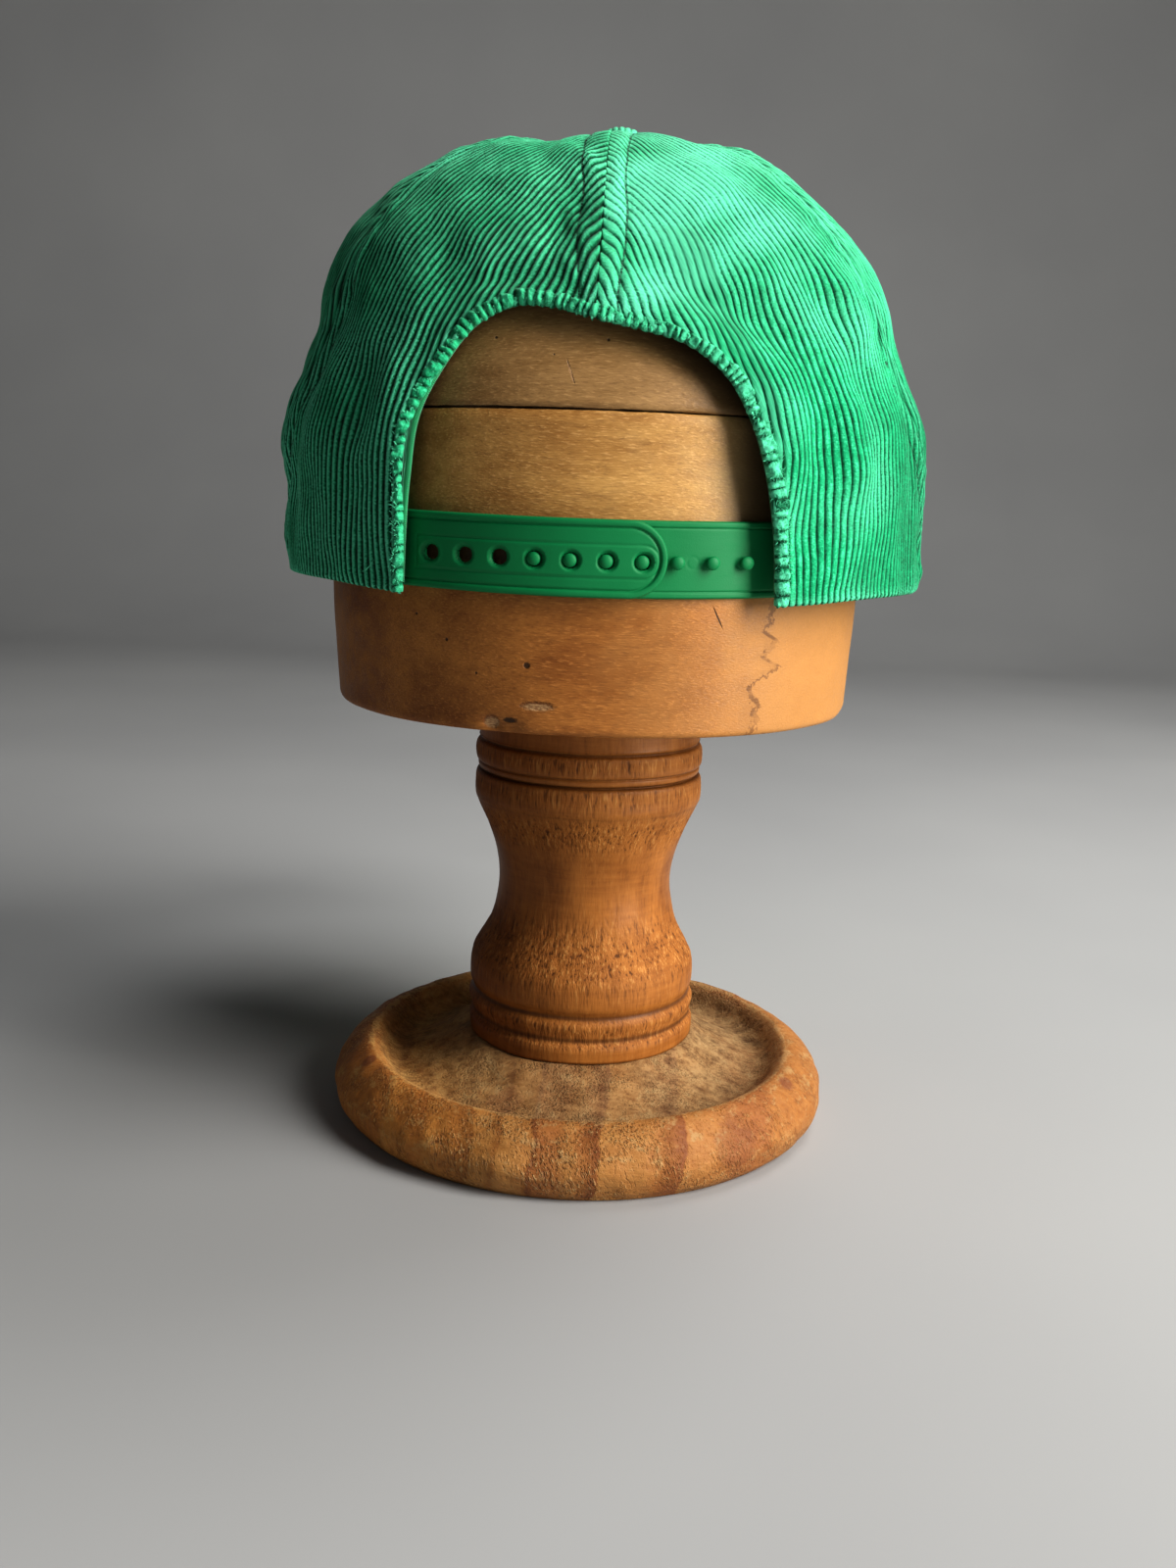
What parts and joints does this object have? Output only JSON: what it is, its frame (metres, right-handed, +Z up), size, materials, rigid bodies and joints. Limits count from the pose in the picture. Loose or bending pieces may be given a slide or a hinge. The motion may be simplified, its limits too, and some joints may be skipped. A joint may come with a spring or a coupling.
{
  "type": "trucker cap on a wooden hat stand",
  "caption": "Corduroy trucker cap with a stiff peak and a snap strap across a back arch, held on an oval wooden block with a turned post and a dished round base.",
  "frame": {"origin": "centre of the flat underside of the stand's round base, on the axis of its post", "axes": "+Z up, the cap's peak points to -Y and its snap strap to +Y, +X is the wearer's left"},
  "size_m": [0.1906, 0.2685, 0.3013],
  "materials": {
    "corduroy": "bright green cotton corduroy, soft raised wales about 1.8 mm apart",
    "binding": "plain woven green tape and brow band",
    "strap_plastic": "moulded green strap plastic, semi-matt",
    "pale_wood": "aged pale close-grained wood, waxed",
    "brown_wood": "aged orange-brown wood with stains, worn edges and old wax"
  },
  "bodies": {
    "root": {"crown_front": "corduroy", "crown_side_left": "corduroy", "crown_side_right": "corduroy", "crown_back_left": "corduroy", "crown_back_right": "corduroy", "top_button": "corduroy", "peak": "corduroy", "sweatband": "binding", "arch_binding": "binding", "strap_holes": "strap_plastic", "strap_pegs": "strap_plastic", "block_upper": "pale_wood", "block_lower": "brown_wood", "post": "brown_wood", "base": "brown_wood"}
  },
  "joints": []
}
